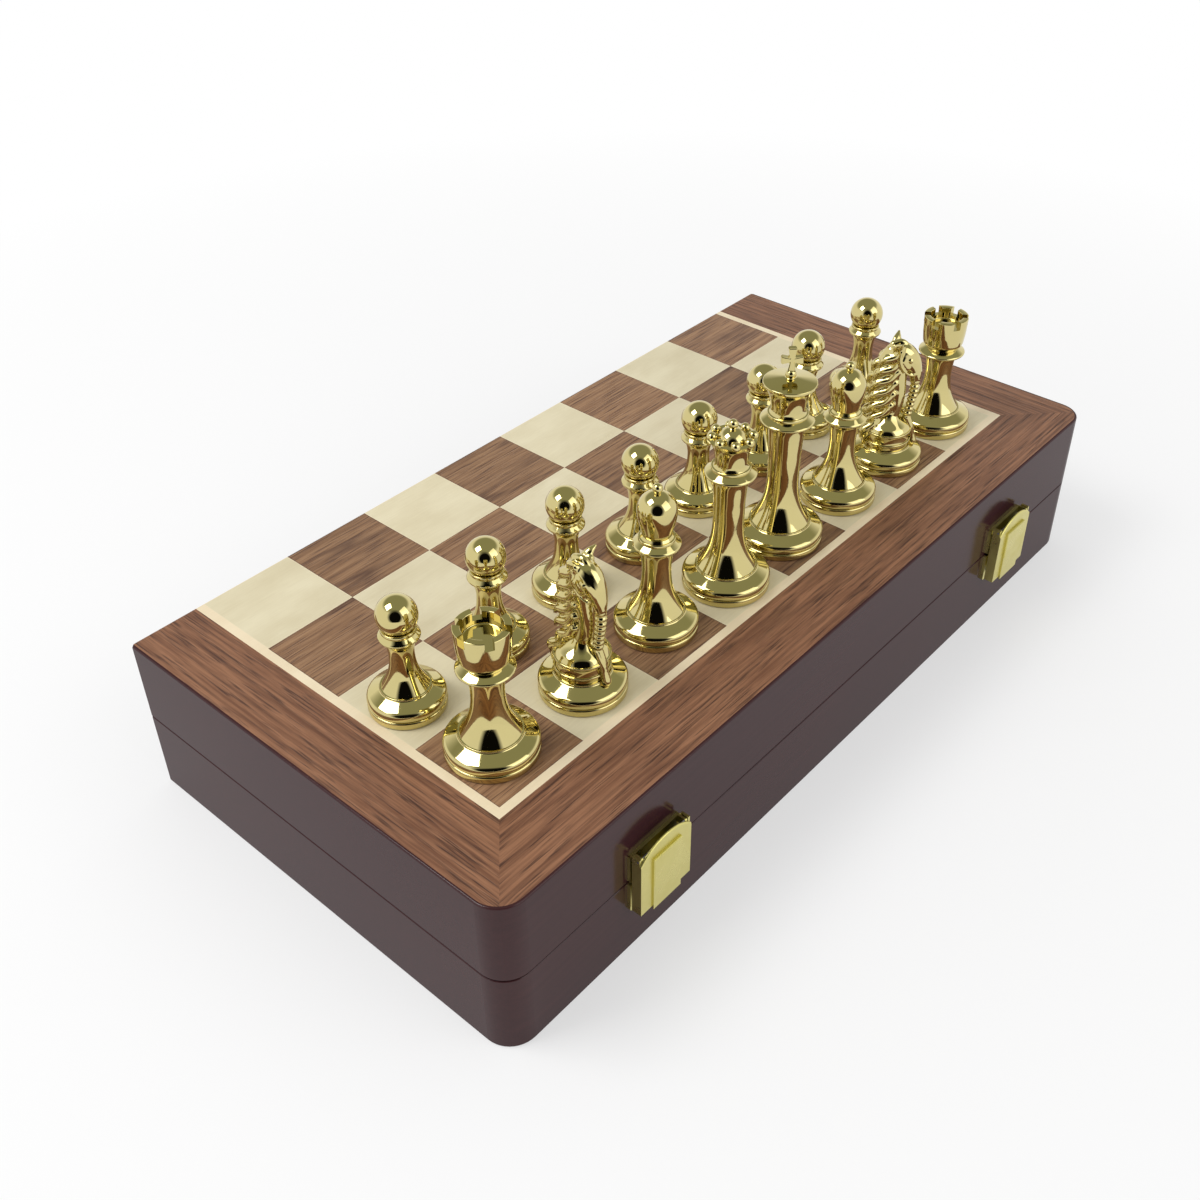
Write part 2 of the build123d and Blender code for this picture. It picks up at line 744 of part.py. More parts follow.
with BuildPart() as knight:
    with BuildSketch(Plane.XZ):
        with BuildLine():
            mane_foot, poll = on_knight(-0.86, 0), on_knight(-0.56, 0.83)
            brow, rein_foot = on_knight(0.09, 0.9), on_knight(0.84, 0)
            Spline(mane_foot, on_knight(-1.08, 0.24), on_knight(-1.0, 0.55), poll)
            Polyline(poll, on_knight(-0.28, 1), brow)
            Spline(brow, on_knight(0.65, 0.79), on_knight(1.05, 0.56), on_knight(0.96, 0.27), rein_foot)
            Line(rein_foot, mane_foot)
        make_face()
        with BuildLine():
            gap_top, gap_foot = on_knight(0.55, 0.56), on_knight(0.34, 0.12)
            Spline(gap_top, on_knight(0.48, 0.34), gap_foot)
            Spline(gap_foot, on_knight(0.6, 0.22), on_knight(0.7, 0.42), gap_top)
        make_face(mode=Mode.SUBTRACT)
    extrude(amount=horse_reach, both=True)
    with BuildSketch(Plane.YZ):
        with BuildLine():
            ear_side, flank_foot = on_knight(-0.45, 0.82), on_knight(-0.62, 0)
            Polyline(on_knight(0, 0.9), on_knight(-0.14, 0.9), on_knight(-0.34, 1), ear_side)
            Spline(ear_side, on_knight(-0.45, 0.61), on_knight(-0.52, 0.3), flank_foot)
            Line(flank_foot, on_knight(0, 0))
            mirror(about=Plane.YZ)
        make_face()
    extrude(amount=knight_foot_r, both=True, mode=Mode.INTERSECT)
    with BuildSketch(Plane.XY.offset(knight_drum_top)):
        Ellipse(horse_half_len, horse_half_w)
    extrude(amount=knight_h, mode=Mode.INTERSECT)
    turn_foot(knight_foot_r, knight_drum_r)
    with BuildSketch(Plane.XY.offset(shoulder_z + step_h)):
        Circle(knight_drum_r)
    extrude(amount=knight_drum_top - shoulder_z - step_h)
    for bead_z in knight_bead_zs:
        turn_bead(knight_drum_r + neck_bead, bead_z, neck_bead)


def standing(man, file, rank, shove, facing=0.0):
    """A man on its square, with its bottom just above the board."""
    x, y = square_centre(file, rank)
    return man.part.moved(Location((x + shove[0], y + shove[1], case_h + man_gap), (0, 0, facing)))


kinds = {"rook": rook, "knight": knight, "bishop": bishop, "queen": queen, "king": king, "pawn": pawn}
facings = {"near_knight": near_knight_facing, "far_knight": far_knight_facing, "king": king_cross_facing}
for name, file, shove in back_row:
    man = kinds[name.split("_")[-1]]
    save(standing(man, file, back_rank, shove, facings.get(name, 0.0)), f"gold_{name}")
for number, shove in enumerate(pawn_shoves, 1):
    save(standing(pawn, number - 1, pawn_rank, shove), f"gold_pawn_{number}")


def lying(man, foot_r, x, row):
    """A man laid in a trough of the lower half, its foot at x and its head towards the far end."""
    y = (row - (trough_rows - 1) / 2) * trough_pitch
    z = case_h - trough_top + foot_r + man_gap
    return man.part.solid().moved(Location((x, y, z), (0, 90, 0)))


troughs = [
    [("king", king_turning.foot_r, king_h), ("queen", queen_turning.foot_r, queen_knob_z + queen_knob_r),
     ("bishop", bishop_turning.foot_r, bishop_knob_z + bishop_knob_r),
     ("bishop", bishop_turning.foot_r, bishop_knob_z + bishop_knob_r)],
    [("knight", knight_foot_r, knight_h), ("knight", knight_foot_r, knight_h),
     ("rook", rook_turning.foot_r, rook_h), ("rook", rook_turning.foot_r, rook_h)],
    [("pawn", pawn_turning.foot_r, pawn_ball_z + pawn_ball_r)] * 4,
    [("pawn", pawn_turning.foot_r, pawn_ball_z + pawn_ball_r)] * 4,
]
stored = {kind: [] for kind in kinds}
for row, men in enumerate(troughs):
    x = lay_gap - trough_half_len
    for kind, foot_r, height in men:
        stored[kind].append(lying(kinds[kind], foot_r, x, row))
        x += height + lay_gap

for kind in ("king", "queen"):
    save(stored[kind][0], f"silver_{kind}")
for kind in ("bishop", "knight", "rook", "pawn"):
    save(Compound(stored[kind]), f"silver_{kind}s")
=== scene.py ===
"""Looks of the folding chess set: woods, lacquer, plated metal, turned men, light and camera.

Sizes are millimetres and turn into metres where a mesh is made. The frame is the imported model:
the origin is on the resting face, +X runs along the case, the latches face -Y and +Z is up.
"""
import json
from collections import namedtuple
from math import cos, pi, radians, sin

import bmesh
import bpy
from mathutils import Matrix, Vector

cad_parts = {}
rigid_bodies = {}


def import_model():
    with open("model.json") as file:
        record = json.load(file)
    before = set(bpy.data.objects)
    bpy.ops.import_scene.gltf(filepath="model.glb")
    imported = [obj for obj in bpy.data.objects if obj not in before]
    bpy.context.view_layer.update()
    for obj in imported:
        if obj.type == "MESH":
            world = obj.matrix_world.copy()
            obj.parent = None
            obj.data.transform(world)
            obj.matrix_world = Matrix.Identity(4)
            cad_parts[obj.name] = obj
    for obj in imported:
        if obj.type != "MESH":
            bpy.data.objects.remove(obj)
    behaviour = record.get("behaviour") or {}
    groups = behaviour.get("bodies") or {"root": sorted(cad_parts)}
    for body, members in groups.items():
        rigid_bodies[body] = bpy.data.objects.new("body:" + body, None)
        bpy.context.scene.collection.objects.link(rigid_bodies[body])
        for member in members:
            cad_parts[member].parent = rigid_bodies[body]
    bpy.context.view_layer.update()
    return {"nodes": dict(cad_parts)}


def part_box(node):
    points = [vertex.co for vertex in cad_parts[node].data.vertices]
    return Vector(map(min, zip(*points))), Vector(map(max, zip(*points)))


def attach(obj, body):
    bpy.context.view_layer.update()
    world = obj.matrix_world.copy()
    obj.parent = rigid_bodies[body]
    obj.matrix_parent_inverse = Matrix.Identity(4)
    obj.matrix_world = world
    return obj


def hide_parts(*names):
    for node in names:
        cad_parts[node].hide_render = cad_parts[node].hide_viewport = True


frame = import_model()
nodes = frame["nodes"]
mm = 0.001

# The camera stands where the photograph was taken from
camera_place = (-281.35, -228.10, 309.15)
camera_turn = (53.134, 0.341, -49.048)
camera_lens = 40.72
camera_shift = (-0.01755, -0.03509)

# The squares, the darker line at their edges, and how far apart two squares' grain is taken
square = 31.25
edge_line = 0.35
grain_jump = 400


def srgb(red, green, blue):
    """A colour as the eye reads it, 0 to 255, as the linear values that shaders take."""
    def linear(value):
        share = value / 255
        return share / 12.92 if share <= 0.04045 else ((share + 0.055) / 1.055) ** 2.4
    return linear(red), linear(green), linear(blue)


class Paint:
    """A node material being made: its tree, its surface shader and short ways to add nodes."""

    def __init__(self, name, finish):
        self.material = bpy.data.materials.new(name)
        self.material.use_nodes = True
        self.tree = self.material.node_tree
        self.surface = self.tree.nodes["Principled BSDF"]
        for socket, value in finish.items():
            self.feed(self.surface.inputs[socket], value)
        metres = self.add("ShaderNodeTexCoord").outputs["Object"]
        self.place = self.vector("MULTIPLY", metres, (1 / mm, 1 / mm, 1 / mm))

    def add(self, kind, inputs=None, **settings):
        """One node. Each input is a value or another node's output."""
        node = self.tree.nodes.new(kind)
        for name, value in settings.items():
            setattr(node, name, value)
        for socket, value in (inputs or {}).items():
            self.feed(node.inputs[socket], value)
        return node

    def feed(self, socket, value):
        """Set a socket to a value or link it to an output."""
        if isinstance(value, bpy.types.NodeSocket):
            self.tree.links.new(value, socket)
        elif socket.type == "RGBA":
            socket.default_value = (*value, 1.0)
        else:
            socket.default_value = value

    def math(self, operation, first, second=0.0):
        return self.add("ShaderNodeMath", {0: first, 1: second}, operation=operation).outputs[0]

    def vector(self, operation, first, second):
        return self.add("ShaderNodeVectorMath", {0: first, 1: second}, operation=operation).outputs[0]

    def noise(self, place, scale, detail=4.0, rough=0.5, distortion=0.0):
        inputs = {"Vector": place, "Scale": scale, "Detail": detail, "Roughness": rough,
                  "Distortion": distortion}
        return self.add("ShaderNodeTexNoise", inputs).outputs["Fac"]

    def ramp(self, value, stops):
        """Colours by value: stops are (position, colour)."""
        node = self.add("ShaderNodeValToRGB", {"Fac": value})
        elements = node.color_ramp.elements
        while len(elements) < len(stops):
            elements.new(0.5)
        for element, (position, colour) in zip(elements, stops):
            element.position = position
            element.color = (*colour, 1.0)
        return node.outputs["Color"]

    def range(self, value, low, high, to_low=0.0, to_high=1.0):
        inputs = {"Value": value, "From Min": low, "From Max": high, "To Min": to_low, "To Max": to_high}
        return self.add("ShaderNodeMapRange", inputs).outputs["Result"]

    def mix(self, share, first, second):
        """Two colours mixed: sockets 6 and 7 and output 2 of the node are its colours."""
        node = self.add("ShaderNodeMix", data_type="RGBA")
        self.feed(node.inputs[0], share)
        self.feed(node.inputs[6], first)
        self.feed(node.inputs[7], second)
        return node.outputs[2]

    def bump(self, height, distance):
        """Relief in the surface: distance is the height in millimetres of a full step."""
        inputs = {"Height": height, "Distance": distance * mm, "Strength": 1.0}
        self.feed(self.surface.inputs["Normal"], self.add("ShaderNodeBump", inputs).outputs["Normal"])


def tiles(paint, corner):
    """Whole-number place of each square and the distance to its nearest edge, in millimetres."""
    local = paint.vector("SUBTRACT", paint.place, corner)
    scaled = paint.vector("DIVIDE", local, (square, square, square))
    number = paint.vector("MULTIPLY", paint.vector("FLOOR", scaled, (0, 0, 0)), (1, 1, 0))
    inside = paint.add("ShaderNodeSeparateXYZ", {0: paint.vector("FRACTION", scaled, (0, 0, 0))})
    edges = []
    for axis in ("X", "Y"):
        off_middle = paint.math("ABSOLUTE", paint.math("SUBTRACT", inside.outputs[axis], 0.5))
        edges.append(paint.math("SUBTRACT", 0.5, off_middle))
    return number, paint.math("MULTIPLY", paint.math("MINIMUM", *edges), square)


def square_variation(paint, corner):
    """Each square's own random value and piece of grain, and the distance to its nearest edge."""
    number, edge = tiles(paint, corner)
    random = paint.add("ShaderNodeTexWhiteNoise", {"Vector": number})
    shift = paint.vector("MULTIPLY", random.outputs["Color"], (grain_jump, grain_jump, grain_jump))
    return random.outputs["Value"], shift, edge


def grain_place(paint, along, shift, stretch):
    """The place squeezed along the grain, so that noise on it draws out into long figures."""
    moved = paint.vector("ADD", paint.place, shift)
    squeeze = (1 / stretch, 1, 1) if along == "X" else (1, 1 / stretch, 1)
    return paint.vector("MULTIPLY", moved, squeeze)


def rosewood(name, along, light, middle, dark, streaks, depth, stretch, corner=None):
    """Brown veneer with dark wandering streaks, fine stripes and short pores along the grain."""
    paint = Paint(name, {"Specular IOR Level": 0.3, "Coat Weight": 0.08, "Coat Roughness": 0.3})
    shift = (0, 0, 0)
    if corner:
        tone, shift, edge = square_variation(paint, corner)
    figure = paint.noise(grain_place(paint, along, shift, stretch), 0.055, detail=2.0, rough=0.45,
                         distortion=0.25)
    rings = paint.math("FRACT", paint.math("MULTIPLY", figure, streaks))
    stripes = paint.noise(grain_place(paint, along, shift, 30.0), 0.9, detail=5.0, rough=0.65)
    pores = paint.noise(grain_place(paint, along, shift, 26.0), 1.9, detail=2.0)
    colour = paint.ramp(stripes, [(0.38, middle), (0.62, light)])
    streak = paint.ramp(rings, [(0.0, (0, 0, 0)), (0.62, (0, 0, 0)), (0.9, (1, 1, 1)),
                                (1.0, (0.15, 0.15, 0.15))])
    patches = paint.noise(paint.place, 0.06, detail=2.0)
    strength = paint.range(patches, 0.35, 0.65, 0.2 * depth, depth)
    colour = paint.mix(paint.math("MULTIPLY", streak, strength), colour, dark)
    pore = paint.range(pores, 0.54, 0.68)
    colour = paint.mix(paint.math("MULTIPLY", pore, 0.75), colour, dark)
    if corner:
        value = paint.range(tone, 0.0, 1.0, 0.86, 1.14)
        colour = paint.add("ShaderNodeHueSaturation", {"Value": value, "Color": colour}).outputs[0]
        line = paint.range(edge, 0.0, edge_line, 0.75, 0.0)
        colour = paint.mix(line, colour, dark)
    paint.feed(paint.surface.inputs["Base Color"], colour)
    paint.feed(paint.surface.inputs["Roughness"], paint.range(pores, 0.3, 0.8, 0.38, 0.52))
    paint.bump(paint.math("ADD", pore, paint.math("MULTIPLY", stripes, 0.4)), -0.04)
    return paint.material


def maple(name, light, middle, corner=None):
    """Pale veneer with a faint mottle and very fine grain."""
    paint = Paint(name, {"Roughness": 0.45, "Coat Weight": 0.2, "Coat Roughness": 0.3})
    shift = (0, 0, 0)
    if corner:
        tone, shift, edge = square_variation(paint, corner)
    mottle = paint.noise(grain_place(paint, "X", shift, 2.0), 0.09, detail=3.0, rough=0.55)
    fibres = paint.noise(grain_place(paint, "X", shift, 20.0), 2.2, rough=0.6)
    figure = paint.math("ADD", paint.math("MULTIPLY", mottle, 0.7), paint.math("MULTIPLY", fibres, 0.3))
    colour = paint.ramp(figure, [(0.35, middle), (0.65, light)])
    if corner:
        value = paint.range(tone, 0.0, 1.0, 0.97, 1.03)
        colour = paint.add("ShaderNodeHueSaturation", {"Value": value, "Color": colour}).outputs[0]
        colour = paint.mix(paint.range(edge, 0.0, edge_line, 0.6, 0.0), colour, srgb(240, 222, 190))
    paint.feed(paint.surface.inputs["Base Color"], colour)
    paint.bump(fibres, 0.02)
    return paint.material


def lacquer():
    """Dark maroon-brown lacquer over wood whose grain just shows, with faint waves in its gloss."""
    paint = Paint("lacquer", {"Coat Weight": 0.5, "Coat Roughness": 0.16, "Specular IOR Level": 0.0})
    stripes = paint.noise(grain_place(paint, "X", (0, 0, 0), 25.0), 0.6, rough=0.6)
    cloud = paint.noise(paint.place, 0.02, detail=2.0)
    grain = paint.mix(stripes, srgb(54, 30, 32), srgb(72, 40, 40))
    colour = paint.mix(paint.math("MULTIPLY", cloud, 0.5), grain, srgb(48, 30, 36))
    paint.feed(paint.surface.inputs["Base Color"], colour)
    paint.feed(paint.surface.inputs["Roughness"], paint.range(cloud, 0.3, 0.7, 0.3, 0.42))
    paint.bump(paint.noise(paint.place, 0.12, detail=2.0), 0.02)
    return paint.material


def plated(name, colour, rough, wave):
    """Polished plating whose surface is not quite even, a little duller in places."""
    paint = Paint(name, {"Base Color": colour, "Metallic": 1.0})
    handling = paint.noise(paint.place, 0.12, rough=0.6)
    paint.feed(paint.surface.inputs["Roughness"], paint.range(handling, 0.35, 0.7, rough, rough * 2))
    dulled = tuple(0.82 * c for c in colour)
    tint = paint.mix(paint.range(handling, 0.4, 0.8, 0.0, 0.25), colour, dulled)
    paint.feed(paint.surface.inputs["Base Color"], tint)
    paint.bump(paint.noise(paint.place, 0.25, detail=2.0), wave)
    return paint.material


def flock():
    """Black flocked foam: a dull nap with a faint sheen."""
    paint = Paint("flock", {"Roughness": 0.95, "Sheen Weight": 0.4, "Sheen Roughness": 0.5})
    nap = paint.noise(paint.place, 3.0, rough=0.7)
    colour = paint.ramp(nap, [(0.3, srgb(14, 14, 16)), (0.8, srgb(42, 42, 46))])
    paint.feed(paint.surface.inputs["Base Color"], colour)
    paint.bump(nap, 0.25)
    return paint.material


near_corner = tuple(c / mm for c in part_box("upper_dark_squares")[0])
square_corner = (near_corner[0], near_corner[1], 0)
board_brown = {"light": srgb(160, 124, 92), "middle": srgb(128, 94, 68), "dark": srgb(74, 48, 42)}
border_brown = {"light": srgb(150, 106, 78), "middle": srgb(112, 74, 54), "dark": srgb(58, 34, 28)}
finishes = {
    "squares": rosewood("rosewood_squares", "X", streaks=5.0, depth=0.7, stretch=10.0, corner=square_corner,
                        **board_brown),
    "border_x": rosewood("rosewood_along_x", "X", streaks=16.0, depth=0.45, stretch=30.0, **border_brown),
    "border_y": rosewood("rosewood_along_y", "Y", streaks=16.0, depth=0.45, stretch=30.0, **border_brown),
    "maple": maple("maple_squares", srgb(224, 214, 182), srgb(210, 198, 164), corner=square_corner),
    "stringing": maple("maple_stringing", srgb(238, 222, 190), srgb(226, 208, 174)),
    "lacquer": lacquer(),
    "flock": flock(),
    "gold": plated("gold_plate", srgb(210, 196, 136), 0.045, 0.01),
    "silver": plated("silver_plate", srgb(222, 224, 226), 0.06, 0.01),
    "latch": plated("latch_plate_metal", srgb(216, 206, 128), 0.22, 0.02),
    "hinge": plated("hinge_plate_metal", srgb(226, 205, 140), 0.25, 0.02),
    "steel": plated("steel", srgb(170, 170, 172), 0.3, 0.01),
}


def finish_of(node):
    """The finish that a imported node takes."""
    if "dark_squares" in node:
        return "squares"
    if "light_squares" in node:
        return "maple"
    if "stringing" in node:
        return "stringing"
    if "border" in node:
        return "border_x" if "front" in node else "border_y"
    if "deck" in node or "rail" in node:
        return "lacquer"
    if "foam" in node:
        return "flock"
    if node.startswith(("gold", "silver")):
        return node.split("_")[0]
    if node in ("hinge_pins", "latch_pins"):
        return "steel"
    return "hinge" if node.startswith("hinge") else "latch"


def coat(thing, finish):
    """Give an object one finish on all of its faces."""
    thing.data.materials.clear()
    thing.data.materials.append(finishes[finish])


for name, thing in nodes.items():
    coat(thing, finish_of(name))


def bezier(start, pull_start, pull_end, end, steps=14):
    """Points of a cubic curve, without its first point."""
    points = []
    for step in range(1, steps + 1):
        t = step / steps
        weights = ((1 - t) ** 3, 3 * t * (1 - t) ** 2, 3 * t * t * (1 - t), t ** 3)
        corners = (start, pull_start, pull_end, end)
        points.append(tuple(sum(w * p[axis] for w, p in zip(weights, corners)) for axis in (0, 1)))
    return points


def arc(centre_z, radius, start, end, steps=24):
    """Points on a circle round the axis at height centre_z: angles in degrees up from level."""
    angles = [radians(start + (end - start) * step / steps) for step in range(steps + 1)]
    return [(max(radius * cos(a), 0.0), centre_z + radius * sin(a)) for a in angles]


def eased(corners, steps=4):
    """A line through corners (r, z, ease), each corner rounded off over its own ease."""
    points = []
    for index, (r, z, ease) in enumerate(corners):
        corner = Vector((r, z))
        if not ease or index in (0, len(corners) - 1):
            points.append((r, z))
            continue
        before = Vector(corners[index - 1][:2]) - corner
        after = Vector(corners[index + 1][:2]) - corner
        start = corner + before.normalized() * min(ease, before.length / 2)
        end = corner + after.normalized() * min(ease, after.length / 2)
        for step in range(steps + 1):
            t = step / steps
            point = start * (1 - t) ** 2 + corner * 2 * t * (1 - t) + end * t * t
            points.append(tuple(point))
    return points


def lathe(name, profile, segments=96):
    """A closed mesh, in millimetres, turned from profile points that run from axis to axis."""
    shape = bmesh.new()
    rings = []
    for r, z in profile:
        if r < 1e-4:
            rings.append([shape.verts.new((0, 0, z))])
        else:
            angles = [2 * pi * step / segments for step in range(segments)]
            rings.append([shape.verts.new((r * cos(a), r * sin(a), z)) for a in angles])
    for lower, upper in zip(rings, rings[1:]):
        for step in range(segments):
            after = (step + 1) % segments
            corners = [lower[step % len(lower)], lower[after % len(lower)],
                       upper[after % len(upper)], upper[step % len(upper)]]
            shape.faces.new(list(dict.fromkeys(corners)))
    bmesh.ops.recalc_face_normals(shape, faces=shape.faces)
    return mesh_of(name, shape)


def mesh_of(name, shape):
    """The shape being edited as a mesh of its own."""
    mesh = bpy.data.meshes.new(name)
    shape.to_mesh(mesh)
    shape.free()
    return mesh


def linked(name, data):
    """A new object of a mesh, lamp or camera, in the scene."""
    thing = bpy.data.objects.new(name, data)
    bpy.context.scene.collection.objects.link(thing)
    return thing


def combined(mesh, others, operation="UNION"):
    """A mesh with others joined to it or cut out of it as solids."""
    base = linked("base", mesh)
    for number, other in enumerate(others):
        tool = linked(f"tool_{number}", other)
        change = base.modifiers.new(f"change_{number}", "BOOLEAN")
        change.operation = operation
        change.solver = "EXACT"
        change.object = tool
    bpy.context.view_layer.update()
    result = bpy.data.meshes.new_from_object(base.evaluated_get(bpy.context.evaluated_depsgraph_get()))
    for thing in [o for o in bpy.context.scene.objects if o.name.startswith(("base", "tool_"))]:
        bpy.data.objects.remove(thing)
    result.name = mesh.name
    return result


def ball(name, radius, place):
    """A round bead as a closed mesh."""
    mesh = lathe(name, arc(0, radius, -90, 90), 32)
    mesh.transform(Matrix.Translation(place))
    return mesh


# The moulded foot, in the same sizes as the turned solids that carry it
ring_h = 2.3
groove_h = 0.5
groove_depth = 0.9
foot_h = 5.0
shoulder_z = 7.0
step_h = 0.5
step_w = 0.5
neck_flare = 0.8
collar_under = 1.8
collar_over = 1.8
bead_half = 0.6
bead_lift = 0.2

# How tall each man stands
heights = {"king": 67.3, "queen": 57.3, "bishop": 50.0, "knight": 47.0, "rook": 42.3, "pawn": 37.05}

Turning = namedtuple("Turning", "foot_r stem_r waist_r waist_z collar_r collar_z")
pawn_turning = Turning(foot_r=10.95, stem_r=6.6, waist_r=3.5, waist_z=18.5, collar_r=5.75, collar_z=24.6)
rook_turning = Turning(foot_r=12.95, stem_r=8.3, waist_r=4.5, waist_z=21.0, collar_r=7.85, collar_z=29.0)
bishop_turning = Turning(foot_r=12.45, stem_r=8.0, waist_r=4.2, waist_z=22.0, collar_r=6.95, collar_z=30.3)
queen_turning = Turning(foot_r=13.35, stem_r=8.8, waist_r=4.7, waist_z=29.0, collar_r=7.7, collar_z=39.8)
king_turning = Turning(foot_r=13.75, stem_r=9.1, waist_r=5.0, waist_z=31.0, collar_r=8.3, collar_z=43.5)


def foot(foot_r, stem_r):
    """Profile of the foot: two rounded rings with a groove between, a sloping shoulder and a small step."""
    groove_r = foot_r - groove_depth
    return eased([
        (0, 0, 0), (foot_r, 0, 0.7), (foot_r, ring_h, 0.6), (groove_r, ring_h + groove_h / 2, 0.2),
        (foot_r, ring_h + groove_h, 0.6), (foot_r, foot_h, 1.1), (stem_r + step_w, shoulder_z, 0.4),
        (stem_r + step_w, shoulder_z + step_h, 0.2), (stem_r, shoulder_z + step_h, 0),
    ])


def stem(size):
    """Profile from the foot's step to the top of the collar."""
    neck_r = size.waist_r + neck_flare
    start = (size.stem_r, shoulder_z + step_h)
    waist = (size.waist_r, size.waist_z)
    neck = (neck_r, size.collar_z - collar_under)
    rise = size.waist_z - start[1]
    foot_pull = (start[0] - 0.22 * rise, start[1] + 0.35 * rise)
    waist_pull = (waist[0], waist[1] - 0.4 * rise)
    points = bezier(start, foot_pull, waist_pull, waist)
    points += bezier(waist, (waist[0], waist[1] + 1.5), (neck[0] - 0.4, neck[1] - 1.0), neck, 8)
    collar = eased([
        (*neck, 0), (size.collar_r, size.collar_z - 0.3, 0.45), (size.collar_r, size.collar_z + 0.3, 0.45),
        (neck_r, size.collar_z + collar_over, 0),
    ])
    return points + collar[1:]


def bead(radius, z, half):
    """Profile of a small rounded ring."""
    return eased([(radius - half, z - half, 0), (radius, z - half, half), (radius, z + half, half),
                  (radius - half, z + half, 0)])


def turned(size):
    """Profile of a man from the axis under its foot to the top of its collar."""
    return foot(size.foot_r, size.stem_r) + stem(size)


def beaded(size, bead_r):
    """The turned profile with the small ring that sits on the collar."""
    return turned(size) + bead(bead_r, size.collar_z + collar_over + bead_lift, bead_half)


def pawn_mesh():
    head_r = 5.75
    head_z = heights["pawn"] - head_r
    return lathe("pawn", beaded(pawn_turning, 4.9) + arc(head_z, head_r, -52, 90))


def rook_mesh():
    size = rook_turning
    neck_z = size.collar_z + collar_over
    top = heights["rook"]
    crown_r = 7.5
    inside_r = crown_r - 2.1
    floor_z = top - 4.0
    notches_round = 6
    notch_w = 2.5
    notch_deep = 2.6
    profile = turned(size) + eased([
        (5.6, neck_z, 0), (crown_r - 0.7, neck_z + 1.6, 0.8), (crown_r - 0.3, 36.0, 0.5),
        (crown_r, top, 0.35), (inside_r, top, 0.35), (inside_r, floor_z, 0.4), (0, floor_z, 0),
    ])
    notches = []
    for turn in range(notches_round):
        shape = bmesh.new()
        bmesh.ops.create_cube(shape, size=1.0)
        mesh = mesh_of(f"notch_{turn}", shape)
        mesh.transform(Matrix.Diagonal((crown_r * 1.5, notch_w, 2 * notch_deep, 1)))
        mesh.transform(Matrix.Translation((crown_r, 0, top)))
        mesh.transform(Matrix.Rotation(2 * pi * turn / notches_round, 4, "Z"))
        notches.append(mesh)
    return combined(lathe("rook", profile), notches, "DIFFERENCE")


def bishop_mesh():
    neck_z = bishop_turning.collar_z + collar_over
    head_r = 5.75
    head_z = 41.6
    tip_r = 1.5
    profile = beaded(bishop_turning, 5.4)
    profile += bezier((4.2, neck_z + 0.9), (4.6, neck_z + 3.5), (head_r, head_z - 3.0), (head_r, head_z))
    profile += arc(head_z, head_r, 4, 78)
    profile += arc(heights["bishop"] - tip_r, tip_r, -50, 90, 12)
    return lathe("bishop", profile)


def queen_mesh():
    neck_z = queen_turning.collar_z + collar_over
    tip_r = 1.5
    crown_z = 51.8
    point_r = 1.5
    points_round = 8
    ring_r = 5.9
    profile = beaded(queen_turning, 5.9)
    profile += bezier((4.8, neck_z + 0.9), (4.8, 46.0), (5.2, 49.0), (7.2, crown_z - 0.2))
    profile += [(6.2, crown_z + 0.2)] + arc(50.0, 4.6, 18, 74)
    profile += arc(heights["queen"] - tip_r, tip_r, -48, 90, 12)
    points = []
    for number in range(points_round):
        turn = 2 * pi * number / points_round
        points.append(ball(f"point_{number}", point_r, (ring_r * cos(turn), ring_r * sin(turn), crown_z)))
    return combined(lathe("queen", profile), points)


def cross_mesh(middle_z, foot_z, top_z, width):
    """A flared cross as one closed mesh, its two bars crossing at middle_z."""
    waist, half, thick = 0.75, 1.25, 1.0
    arm = width / 2
    outline = [
        (-half, foot_z), (half, foot_z), (waist, middle_z - waist), (arm, middle_z - half),
        (arm, middle_z + half), (waist, middle_z + waist), (half, top_z), (-half, top_z),
        (-waist, middle_z + waist), (-arm, middle_z + half), (-arm, middle_z - half),
        (-waist, middle_z - waist),
    ]
    shape = bmesh.new()
    face = shape.faces.new([shape.verts.new((x, -thick, z)) for x, z in outline])
    raised = bmesh.ops.extrude_face_region(shape, geom=[face])
    moved = [part for part in raised["geom"] if isinstance(part, bmesh.types.BMVert)]
    bmesh.ops.translate(shape, verts=moved, vec=(0, 2 * thick, 0))
    bmesh.ops.recalc_face_normals(shape, faces=shape.faces)
    bmesh.ops.bevel(shape, geom=shape.edges[:], offset=0.25, segments=2, affect="EDGES")
    return mesh_of("cross", shape)


def king_mesh():
    neck_z = king_turning.collar_z + collar_over
    crown_r = 8.15
    crown_z = 55.5
    profile = beaded(king_turning, 6.3)
    profile += bezier((5.2, neck_z + 0.9), (5.2, 50.0), (6.4, 53.6), (crown_r, crown_z))
    profile += eased([
        (crown_r, crown_z, 0), (crown_r, crown_z + 0.8, 0.3), (1.6, 57.5, 0.3), (1.4, 57.8, 0),
    ])
    profile += arc(58.6, 1.7, -30, 90, 14)
    cross = cross_mesh(middle_z=63.4, foot_z=59.2, top_z=heights["king"], width=6.4)
    return combined(lathe("king", profile), [cross])


# The knight: a horse with a bowed head on a domed drum. Its points are (ahead, aside, up, radius)
knight_foot_r = 12.55
drum_r = 7.6
drum_top = 14.2
drum_bead = 0.5
drum_bead_zs = (9.4, 13.0)
dome_top = 20.5
rope_from, rope_to = 33.0, 17.0
rope_pitch = 1.7
locks_in_row = 6
lock_r = 1.5
lock_bend = 0.7


